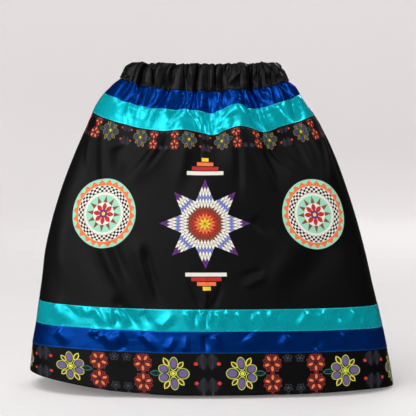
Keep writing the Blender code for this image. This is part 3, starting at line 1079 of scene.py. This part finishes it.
# %% [markdown]
# ## Both borders
#
# One pattern serves both borders. The distance down says to which of them a spot of the cloth belongs,
# and so where its middle line is and how large it is. Outside the borders the cloth stays plain.

# %% Borders
def border(base, x, y):
    """Both printed borders, painted over the base colour of a panel."""
    top = y.to("LESS_THAN", 0.5 * SKIRT_LENGTH)

    def measure(name):
        return top * (TOP_PRINT[name] - HEM_PRINT[name]) + HEM_PRINT[name]

    s = ((x - measure("across")) / measure("scale_across")).to("PINGPONG", HALF_REPEAT)
    q = ((y - measure("down")) / measure("scale_down")).to("PINGPONG", FLOWER_ROWS / 2)
    plain = base
    for motif in UNDER_THE_VIOLET:
        base = motif(base, s, q)
    base = violet_flower(base, s, q, top)
    low, high = TOP_PRINT_REACHES
    in_top = within(abs(y - (low + high) / 2), (high - low) / 2, PRINT_EDGE_SOFT)
    in_hem = within(LOWER_BOTTOM - y, -0.002, PRINT_EDGE_SOFT)
    return painted(plain, in_top.to("MAXIMUM", in_hem), base)


print("upper border:", round(TOP_PRINT_REACHES[1] - TOP_PRINT_REACHES[0], 3), "m high, lower:", HEM_BORDER)

# %% [markdown]
# ## The emblems on the front
#
# The front carries one large emblem in the middle and a round one at each side. The middle one here is
# a Lone Star, a quilt block that nobody owns: eight large diamonds, each of rows of small ones, so the
# colour depends only on how many rows out a small diamond lies. Stepped triangles stand above and
# below it. The round ones are rosettes of rings, petals and checks.

# %% Star
IVORY = (0.760, 0.740, 0.660)
PURPLE = (0.120, 0.022, 0.190)
YELLOW = (0.850, 0.560, 0.030)
RED = (0.480, 0.018, 0.016)
RUST = (0.230, 0.055, 0.018)
PERIWINKLE = (0.160, 0.200, 0.580)
MINT = (0.300, 0.660, 0.480)

EMBLEM_DOWN = 0.303
STAR_SIDE = 0.055  # of one of the eight large diamonds
STAR_ROWS = 6  # of small diamonds along that side
STAR_RINGS = (YELLOW, ORANGE, RED, RUST, IVORY, IVORY, PERIWINKLE, IVORY, IVORY, PURPLE, PURPLE)
STEPS = ((0.1090, 0.088, IVORY), (0.1195, 0.064, RED), (0.1300, 0.040, ORANGE), (0.1405, 0.017, YELLOW))
STEP_HEIGHT = 0.0095
QUILT_SEAM = 0.055  # half width of the seam between two small diamonds, in parts of one


def lone_star(base, x, y):
    """The star and, above and below it, its stepped triangles."""
    dx, dy = x, y - EMBLEM_DOWN
    u, v = spokes(dx, dy, 8)
    half = math.pi / 8
    rows_a_metre = 0.5 * STAR_ROWS / STAR_SIDE
    one = (u / math.cos(half) + v / math.sin(half)) * rows_a_metre
    other = (u / math.cos(half) - v / math.sin(half)) * rows_a_metre
    ring = one.to("FLOOR") + other.to("FLOOR")
    stops = [(k / len(STAR_RINGS), opaque(colour)) for k, colour in enumerate(STAR_RINGS)]
    settings = {"stops": stops, "interpolation": "CONSTANT"}
    where = (ring + 0.5) / len(STAR_RINGS)
    colour = Wire.node(x.socket.id_data, "ValToRGB", settings, {0: where})
    gap = one.to("PINGPONG", 0.5).to("MINIMUM", other.to("PINGPONG", 0.5))
    seen = within(one, STAR_ROWS - 0.02, 0.06) * (1.0 - within(gap, QUILT_SEAM, 0.05))
    base = painted(base, seen, colour)
    height = abs(dy)
    for start, width, step_colour in STEPS:
        tall = within(abs(height - (start + STEP_HEIGHT / 2)), STEP_HEIGHT / 2 - 0.0005, 0.0006)
        wide = within(abs(dx), width / 2, 0.0006)
        base = painted(base, tall * wide, step_colour)
    return base


print("star", round(4 * STAR_SIDE * math.cos(math.pi / 8), 3), "m across")

# %% [markdown]
# ## Rosettes
#
# The rings are painted from the outside in, so each needs only its outer radius. The checks come from
# counting: how many rings out is a spot, and how many sectors round?

# %% Rosettes
ROSETTES_AT = (-0.2306, 0.2498)
ROSETTE_DOWN = 0.289
CHECK_PITCH = 0.0047  # from one ring of checks to the next
CHECKS_ROUND = 60
TEETH, WEDGES, PETALS = 24, 12, 8
MEDALLION = 0.0405  # radius of the middle, inside the checks


def rosettes(base, x, y):
    """The round emblems: the right one is drawn, and the left one is its mirror image."""
    middle = sum(ROSETTES_AT) / 2
    apart = (ROSETTES_AT[1] - ROSETTES_AT[0]) / 2
    dx, dy = abs(x - middle) - apart, y - ROSETTE_DOWN
    reach = length(dx, dy)
    soft = 0.0007
    tooth_u, tooth_v = spokes(dx, dy, TEETH)
    angle = dy.to("ARCTAN2", dx)
    across_the_rings = (reach * (1 / CHECK_PITCH)).to("FLOOR")
    round_the_rings = (angle * (0.5 * CHECKS_ROUND / math.pi) + CHECKS_ROUND).to("FLOOR")
    check = (across_the_rings + round_the_rings).to("MODULO", 2.0)
    wedge_u, wedge_v = spokes(dx, dy, WEDGES)
    wedge = within(wedge_u * 0.30 + wedge_v, 0.0120, soft)
    petal = leaf(*spokes(dx, dy, PETALS), 0.0150, 0.0090, 0.0050)
    return over(
        base,
        (within(reach, 0.0750, soft), MINT),
        (within(tooth_u + tooth_v * 1.1, 0.0735, soft), ORANGE),
        (within(reach, 0.0610, soft), IVORY),
        (within(reach, 0.0600, soft) * check, INK),
        (within(reach, 0.0460, soft), IVORY),
        (within(reach, MEDALLION, soft), MINT),
        (wedge * within(reach, MEDALLION, soft), RUST),
        (within(reach, 0.0245, soft), IVORY),
        (within(petal, 1.0, 0.15), RED),
        (within(reach, 0.0092, soft), PURPLE),
        (within(reach, 0.0040, soft), YELLOW),
    )


print("rosettes", round(ROSETTES_AT[1] - ROSETTES_AT[0], 3), "m apart")

# %% [markdown]
# ## Black cloth
#
# The panels are a smooth black satin weave with the print laid into it. Black cloth is mostly the light
# that slides off it, so its base is nearly nothing and the roughness carries the look. The casing is the
# same cloth, but it is bunched so tight that its shine breaks up.

# %% Black finishes
BLACK = (0.0012, 0.0011, 0.0012)
BLACK_THREAD = (0.0022, 0.0020, 0.0023)
SHINE = 0.26  # of the surface, against 0.5 for smooth plastic
FINE_THREAD = (900.0, 240.0)


def black_satin(name, print_on, bunches, roughness, uneven, shine):
    """Black satin. Bunches are the scales across and down, and the height, of its soft unevenness."""
    finish, tree, shader = new_finish(name)
    x, y = cloth_coordinates(tree)
    threads = fibre(tree, x, y, FINE_THREAD)
    *scale, height = bunches
    soft_folds = fibre(tree, x, y, scale, detail=1.5)
    base = painted(BLACK, threads * 0.6, BLACK_THREAD)
    for pattern in print_on:
        base = pattern(base, x, y)
    relief = (threads - 0.5) * 0.00002 + (soft_folds - 0.5) * height
    feed(shader, Base_Color=base, Roughness=roughness + (threads - 0.5) * uneven)
    feed(shader, Normal=bumped(tree, relief), Specular_IOR_Level=shine)
    return finish


PANEL_SATIN = ((24.0, 17.0, 0.0009), 0.50, 0.12, SHINE)
front_black = black_satin("black_satin_front", (border, lone_star, rosettes), *PANEL_SATIN)
back_black = black_satin("black_satin_back", (border,), *PANEL_SATIN)
casing = black_satin("black_casing", (), (170.0, 12.0, 0.0008), 0.44, 0.08, 1.7 * SHINE)
print("nodes in the front print:", len(front_black.node_tree.nodes))

# %% [markdown]
# ## Panels
#
# A panel hangs from the waist seam to a hem turned up inside. It lies slightly deeper under the ribbons,
# as a layer pressed flat by them does. The hem is the same sheet: its last rows turn under
# the edge and run back up inside by the width of a narrow hem.

# %% Panels
PANEL_COLUMNS = 240
UNDER_RIBBON = -0.0008
UNDER_EDGE = 0.003  # how far under a ribbon's edge the panel has come down to that
SIDES = (("front", 0), ("back", 1))
HEM_TURNED_UP = 0.012
HEM_FOLD = 0.0008  # radius of the fold at its edge


def spaced(start, end, step):
    """Even steps from start to end, both included, about this far apart."""
    return np.linspace(start, end, max(1, round(abs(end - start) / step)) + 1)


def panel_out(down):
    """How deep the panel lies at one distance down it, because of the ribbons on it."""
    pairs = ((-0.010, UPPER_EDGE), (LOWER_TOP, LOWER_BOTTOM))
    covered = [smooth((down - a) / UNDER_EDGE) * smooth((b - down) / UNDER_EDGE) for a, b in pairs]
    return UNDER_RIBBON * max(covered)


def panel_rows():
    """Rows of a panel: close where it steps down under a ribbon, and then round the fold of the hem."""
    runs = (  # from, to, and about how far apart
        (-0.003, UPPER_EDGE - 0.004, 0.0048),
        (UPPER_EDGE - 0.003, UPPER_EDGE + 0.001, 0.0015),
        (UPPER_EDGE + 0.005, LOWER_TOP - 0.005, 0.0049),
        (LOWER_TOP - 0.001, LOWER_TOP + 0.003, 0.0015),
        (LOWER_TOP + 0.008, LOWER_BOTTOM - 0.008, 0.0050),
        (LOWER_BOTTOM - 0.003, LOWER_BOTTOM + 0.001, 0.0015),
        (LOWER_BOTTOM + 0.005, SKIRT_LENGTH - 0.0045, 0.0045),
    )
    levels = np.concatenate([spaced(*run) for run in runs])
    rows = [(level, panel_out(level)) for level in levels]
    for degrees in (0, 35, 70, 110, 145, 180):
        angle = math.radians(degrees)
        level = SKIRT_LENGTH - HEM_FOLD + HEM_FOLD * math.sin(angle)
        rows.append((level, -HEM_FOLD + HEM_FOLD * math.cos(angle)))
    inside = spaced(SKIRT_LENGTH - 0.003, SKIRT_LENGTH - HEM_TURNED_UP, 0.003)
    return rows + [(level, -2 * HEM_FOLD) for level in inside]


panels = {}
for (side, first), finish in zip(SIDES, (front_black, back_black)):
    faces = (finish, black_back)
    piece = cloth(f"{side}_panel_cloth", first, panel_rows(), PANEL_COLUMNS, PANEL_CLOTH, faces)
    panels[side] = dress(piece, f"{side}_panel")
print("rows in a panel:", len(panel_rows()))

# %% [markdown]
# ## Ribbons
#
# Four ribbons run right round: blue and turquoise under the waist, turquoise and blue above the hem.
# In each pair the turquoise is sewn on last and laps over the edge of the blue. A ribbon's rim dips to
# the cloth that it is sewn to, and the middle stands a little proud.

# %% Ribbons
LAP = 0.0025
PROUD = 0.0008  # height of a ribbon's middle, of its rim, and of an edge under another ribbon
RIM = 0.0006
TUCKED = 0.0003
RISE = 0.0015  # distance from a rim over which the ribbon rises
UPPER_COLUMNS, LOWER_COLUMNS = 320, 360
RIBBONS = {
    "upper_blue": {"top": -0.003, "bottom": UPPER_LAP + LAP, "tucked": "bottom"},
    "upper_turquoise": {"top": UPPER_LAP, "bottom": UPPER_EDGE, "tucked": None},
    "lower_turquoise": {"top": LOWER_TOP, "bottom": LOWER_LAP, "tucked": None},
    "lower_blue": {"top": LOWER_LAP - LAP, "bottom": LOWER_BOTTOM, "tucked": "top"},
}
RIBBON_FINISHES = {"blue": (blue, blue_back), "turquoise": (turquoise, turquoise_back)}


def ribbon_rows(ribbon):
    """Rows of a ribbon: close together at its rims and 2 mm apart between them."""
    top, bottom = ribbon["top"], ribbon["bottom"]
    near, far = 0.0006, 0.0045  # of the close rows, from the rim
    close = spaced(near, far, 0.0013)
    middle = spaced(top + 0.0065, bottom - 0.0065, 0.0021)
    levels = np.concatenate([[top], top + close, middle, bottom - close[::-1], [bottom]])
    rows = []
    for level in levels:
        edge = min(level - top, bottom - level)
        out = RIM + (PROUD - RIM) * smooth(edge / RISE)
        if ribbon["tucked"]:
            inside = level - top if ribbon["tucked"] == "top" else bottom - level
            out = TUCKED + (PROUD - TUCKED) * smooth((inside - 0.8 * LAP) / RISE)
        rows.append((level, out))
    return rows


ribbons = {}
for side, first in SIDES:
    for name, ribbon in RIBBONS.items():
        place, colour = name.split("_")
        columns = LOWER_COLUMNS if place == "lower" else UPPER_COLUMNS
        from_edge = ribbon["top"] if ribbon["tucked"] == "top" else ribbon["bottom"] - RIBBON_WIDTH
        rows, faces = ribbon_rows(ribbon), RIBBON_FINISHES[colour]
        piece = cloth(f"{side}_{name}_cloth", first, rows, columns, RIBBON_CLOTH, faces, from_edge)
        ribbons[side, name] = dress(piece, f"{side}_{name}_ribbon")
print(len(ribbons), "ribbons")

# %% [markdown]
# ## Waistband
#
# The casing is one strip folded over the elastic: down the outside, over the top, down the inside. The
# elastic is much shorter than the strip, so the cloth stands in pinched pleats. They are the band's
# creases of the table above, with crisp flanks. Where one comes forward, it also stands up a little at
# the fold, and its lower edge rides up over the ribbon. So neither edge of the band is straight.

# %% Waistband
BAND_LEVELS = (-0.063, -0.056, -0.038, -0.014, 0.0)
BAND_OUTER = (0.0002, 0.0024, 0.0040, 0.0036, 0.0024)  # of the outer face, out of the form
BAND_INNER = (-0.0014, -0.0022, -0.0022, -0.0022, -0.0022)
BAND_COLUMNS = 360
PLEATS_LIFT = 0.35  # how far a pleat stands up at the fold, against how far it stands out


def band_face(heights, levels):
    """Rows of one face of the band at these levels."""
    return [(level, float(np.interp(level, BAND_LEVELS, heights))) for level in levels]


def band_rows():
    """From the inner lower edge up the inner face, over the fold, and down the outer face."""
    fold = 0.0008
    rows = band_face(BAND_INNER, spaced(0.0, -BAND_HEIGHT + 2 * fold, 0.0026))
    for degrees in (20, 60, 100, 140, 170):
        angle = math.radians(degrees)
        rows.append((-BAND_HEIGHT + fold - fold * math.sin(angle), -0.0006 - fold * math.cos(angle)))
    rows += band_face(BAND_OUTER, spaced(-BAND_HEIGHT + 2 * fold, 0.0, 0.0016))
    return rows + [(0.0008, 0.0021), (0.0014, 0.0015)]  # the lower edge, which turns in a little


bands = {}
for side, first in SIDES:
    name, faces = f"{side}_waistband_cloth", (casing, black_back)
    piece = cloth(name, first, band_rows(), BAND_COLUMNS, BAND_CLOTH, faces, lifts=PLEATS_LIFT)
    bands[side] = dress(piece, f"{side}_waistband")
print("rows in a waistband:", len(band_rows()))

# %% [markdown]
# ## Stitching
#
# Rows of machine stitches hold the ribbons. Each turquoise one is sewn at both edges, and the row next
# to the blue one holds that one's edge too. The lower blue one has a row at its lower edge, and a black
# row holds the hem. A stitch is a short bead of thread pulled into the cloth. They are small, and they
# are what the eye looks for at the edge of a ribbon.

# %% Stitching
STITCH_LENGTH = 0.0024
STITCH_PITCH = 0.0032
THREAD = 0.00028  # half its thickness
THREAD_SPREADS = 1.2  # how much wider than thick it lies
TWIST = (2500.0, 2500.0)
FROM_RIM = 0.0018  # from a ribbon's edge to its stitches
HEM_STITCHES_UP = 0.0090
BEADS_AT_ONCE = 40
TURQUOISE_ROWS = (UPPER_LAP + FROM_RIM, UPPER_EDGE - FROM_RIM, LOWER_TOP + FROM_RIM, LOWER_LAP - FROM_RIM)
STITCH_ROWS = {
    "blue": ((LOWER_BOTTOM - FROM_RIM, PROUD),),
    "turquoise": tuple((down, PROUD) for down in TURQUOISE_ROWS),
    "black": ((SKIRT_LENGTH - HEM_STITCHES_UP, 0.0),),
}


def thread_finish(name, colour):
    """Sewing thread, a little lighter along its twist."""
    finish, tree, shader = new_finish(name)
    x, y = cloth_coordinates(tree)
    twist = fibre(tree, x, y, TWIST)
    lighter = tuple(min(1.0, 1.6 * channel + 0.01) for channel in colour)
    feed(shader, Base_Color=painted(colour, twist, lighter), Roughness=0.45)
    return finish


def beads(places):
    """A mesh of small beads, one for each matrix. Making a few dozen at a time is far quicker."""
    whole = bmesh.new()
    for start in range(0, len(places), BEADS_AT_ONCE):
        few = bmesh.new()
        for there in places[start : start + BEADS_AT_ONCE]:
            bmesh.ops.create_uvsphere(few, u_segments=4, v_segments=3, radius=1.0, matrix=there)
        batch = bpy.data.meshes.new("batch")
        few.to_mesh(batch)
        few.free()
        whole.from_mesh(batch)
        bpy.data.meshes.remove(batch)
    return whole


def stitching(name, first, rows, finish):
    """Rows of stitches across half the skirt, each (down, out), on top of that cloth."""
    matrices = []
    for down, out in rows:
        count = int(half_loop(down) / STITCH_PITCH)
        places = first + (np.arange(count) + 0.5) / count
        points = placed([down], [out], places)[0]
        for point, away, along, around in zip(points, *directions(down, places)):
            turn = Matrix((around, along, away)).transposed().to_4x4()
            size = Matrix.Diagonal((STITCH_LENGTH / 2, THREAD_SPREADS * THREAD, THREAD, 1.0))
            matrices.append(Matrix.Translation(Vector(point)) @ turn @ size)
    bm = beads(matrices)
    uv = bm.loops.layers.uv.new(UV_NAME)
    for face in bm.faces:
        for loop in face.loops:
            loop[uv].uv = (loop.vert.co.x, loop.vert.co.z)
    bmesh.ops.recalc_face_normals(bm, faces=bm.faces[:])
    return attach(linked(name, bm, (finish,)), "root")


THREADS = {
    "blue": thread_finish("blue_thread", (0.010, 0.090, 0.420)),
    "turquoise": thread_finish("turquoise_thread", (0.020, 0.480, 0.560)),
    "black": thread_finish("black_thread", (0.016, 0.015, 0.016)),
}
stitches = {}
for side, first in SIDES:
    for name, rows in STITCH_ROWS.items():
        piece = stitching(f"{side}_{name}_stitches", first, rows, THREADS[name])
        slot = "black_satin" if name == "black" else f"{name}_satin"
        stitches[side, name] = piece
print(sum(len(piece.data.polygons) for piece in stitches.values()), "faces of stitching")

# %% [markdown]
# ## What each cloth was cut from
#
# A maker wants the flat sizes. A panel is an A-line piece, 0.70 m wide at the waist edge and 1.00 m at
# the hem. The ribbons are 50 mm wide, and the casing strip is twice the height of the band.

# %% Cloth facts
for side, _ in SIDES:
    flat = (CUT_AT_HEM, SKIRT_LENGTH + HEM_TURNED_UP)
    for name, ribbon in RIBBONS.items():
        middle = 0.5 * (ribbon["top"] + ribbon["bottom"])
        flat = (round(cut_width(middle), 3), RIBBON_WIDTH)
print("sheets:", 2 * (1 + len(RIBBONS) + 1))

# %% [markdown]
# ## The room
#
# The skirt stands in the middle of a round pale room, whose floor bends up into its wall, so there is no
# corner behind it from any side. The room's paint glows a little: painted light that stands in for the
# light of many lamps on it, least near the skirt, so that the floor keeps a shadow. The shine of the
# cloth doesn't show the room: black satin would turn grey.

# %% Room
FLOOR = cad_box[0].z - 0.0006
ROOM_RADIUS = 6.5
ROOM_BEND = 2.2
ROOM_HEIGHT = 4.2
ROOM_TURNS, ROOM_ROWS = 96, 120
# The room's emission colours are painted light, a glow that stands in for lamplight: weak near the skirt,
# stronger far out.
GLOW_NEAR = (0.150, 0.144, 0.144)
GLOW_FAR = (0.320, 0.305, 0.305)
GLOWS_FROM = 1.0  # distance from the middle where the glow begins to grow
GLOWS_OVER = 3.0
WALL = (0.80, 0.778, 0.778)
WALL_LIGHTER = (0.83, 0.808, 0.810)


def room_profile(walk):
    """Radius and height of the room's line, so far along it from the middle of the floor."""
    flat_run = ROOM_RADIUS - ROOM_BEND
    bend = 0.5 * math.pi * ROOM_BEND
    if walk < flat_run:
        return walk, FLOOR
    if walk < flat_run + bend:
        angle = (walk - flat_run) / ROOM_BEND
        return flat_run + ROOM_BEND * math.sin(angle), FLOOR + ROOM_BEND * (1 - math.cos(angle))
    return ROOM_RADIUS, FLOOR + ROOM_BEND + walk - flat_run - bend


def make_room():
    """A flat grid bent into the room: one way goes round, the other from the middle out and up."""
    finish, tree, shader = new_finish("room_paint_and_glow")
    where = Wire.node(tree, "TexCoord", output=3)
    mottle = Wire.node(tree, "TexNoise", inputs={"Vector": where, "Scale": 1.3, "Detail": 2.0})
    east = Wire.node(tree, "SeparateXYZ", inputs={0: where})
    north = Wire(east.socket.node.outputs[1])
    # Painted light: the room glows, least near the skirt, so that the floor keeps a shadow there.
    share = ((length(east, north) - GLOWS_FROM) / GLOWS_OVER).to("ADD", 0.0, clamp=True)
    glow = painted(GLOW_NEAR, share * share * (3.0 - 2.0 * share), GLOW_FAR)
    feed(shader, Base_Color=painted(WALL, mottle, WALL_LIGHTER))
    feed(shader, Roughness=0.75, Emission_Color=glow, Emission_Strength=1.0)
    bm = bmesh.new()
    bmesh.ops.create_grid(bm, x_segments=ROOM_TURNS, y_segments=ROOM_ROWS, size=0.5)
    whole = ROOM_RADIUS - ROOM_BEND + 0.5 * math.pi * ROOM_BEND + ROOM_HEIGHT - ROOM_BEND
    for v in bm.verts:
        radius, z = room_profile((v.co.y + 0.5) * whole)
        turn = 2 * math.pi * v.co.x
        v.co = (-radius * math.sin(turn), radius * math.cos(turn), z)
    bmesh.ops.remove_doubles(bm, verts=bm.verts[:], dist=0.0001)
    if sum(face.normal.z for face in bm.faces if face.calc_center_median().z < FLOOR + 0.01) < 0:
        bmesh.ops.reverse_faces(bm, faces=bm.faces[:])
    room = linked("room", bm, (finish,))
    room.visible_glossy = False


make_room()
print("floor at", round(FLOOR, 4))

# %% [markdown]
# ## The lights
#
# Satin shows where each lamp is, so the lights are large soft boxes: one from the left and above for the
# direction of the light, wide ones at the front for the sheen of the ribbons, and others that draw the
# edges of the black cloth. Two of them show in no shine: they only lift the cloth and the floor.

# %% Lights
WORLD = 0.04
LIGHTS = (  # name, where it is, what it points at, width and height, watts, whether cloth mirrors it
    ("key", (-1.8, -2.4, 2.6), (0.0, 0.0, -0.3), (1.6, 1.2), 13.0, True),
    ("front", (-1.2, -4.0, 1.1), (0.0, 0.0, -0.3), (2.0, 0.8), 13.0, True),
    ("wide", (-2.0, -4.0, 0.7), (0.0, 0.0, -0.3), (4.2, 2.0), 34.0, True),
    ("left", (-2.7, -0.9, 0.3), (0.0, 0.0, -0.5), (1.4, 1.0), 12.0, True),
    ("right", (2.2, -1.8, 1.6), (0.0, 0.0, -0.3), (1.0, 1.0), 13.0, True),
    ("behind", (1.4, 3.8, 1.9), (0.0, 0.0, -0.3), (2.4, 1.2), 40.0, True),
    ("top", (0.0, -0.2, 2.3), (0.0, 0.2, -0.3), (2.4, 0.9), 5.0, True),
    ("fill", (2.4, -1.8, 0.9), (0.0, 0.0, -0.3), (1.2, 1.4), 4.0, False),
    ("room_light", (-1.3, -0.7, 2.9), (-0.5, -0.2, -0.7), (2.6, 2.6), 64.0, False),
)


def add_light(name, at, aim, size, power, mirrored):
    """A rectangular soft light. One that isn't mirrored lights the cloth, but shows in no shine."""
    lamp = bpy.data.lights.new(name, "AREA")
    lamp.shape = "RECTANGLE"
    lamp.size, lamp.size_y = size
    lamp.energy = power
    light = bpy.data.objects.new(name, lamp)
    light.location = at
    light.rotation_euler = (Vector(aim) - Vector(at)).to_track_quat("-Z", "Y").to_euler()
    light.visible_glossy = mirrored
    light.visible_camera = False
    bpy.context.scene.collection.objects.link(light)


world = bpy.data.worlds.new("pale_room")
world.use_nodes = True
background = world.node_tree.nodes["Background"]
background.inputs["Color"].default_value = (1.0, 0.99, 0.985, 1.0)
background.inputs["Strength"].default_value = WORLD
bpy.context.scene.world = world
for light in LIGHTS:
    add_light(*light)
bpy.context.scene.view_settings.view_transform = "Standard"
print("lights:", ", ".join(light[0] for light in LIGHTS))

# %% [markdown]
# ## Camera
#
# A long lens from 3.4 m away keeps the hem from spreading. It is at the height of the waist and looks
# slightly down, so the upper edge of the waistband curves up and the hem curves down.

# %% Camera
CAMERA_AT = (0.007, -3.4, 0.0)
CAMERA_TILT = 84.9114  # degrees from straight down
camera_data = bpy.data.cameras.new("camera")
camera_data.lens = 126.8
camera_data.sensor_width = 36.0
camera = bpy.data.objects.new("camera", camera_data)
camera.location = CAMERA_AT
camera.rotation_euler = (math.radians(CAMERA_TILT), 0.0, 0.0)
bpy.context.scene.collection.objects.link(camera)
bpy.context.scene.camera = camera
print("camera at", CAMERA_AT)

# %% [markdown]
# ## Sizes
#
# The dressed skirt should fill the same box as the solids under it. Here the corners of the dressed pieces
# are collected.

# %% Sizes and finish
bpy.context.view_layer.update()
graph = bpy.context.evaluated_depsgraph_get()
corners = []
for piece in [*panels.values(), *ribbons.values(), *bands.values(), *stitches.values()]:
    points = np.empty(len(piece.evaluated_get(graph).data.vertices) * 3, np.float32)
    piece.evaluated_get(graph).data.vertices.foreach_get("co", points)
    points = points.reshape(-1, 3)
    corners += [points.min(0), points.max(0)]
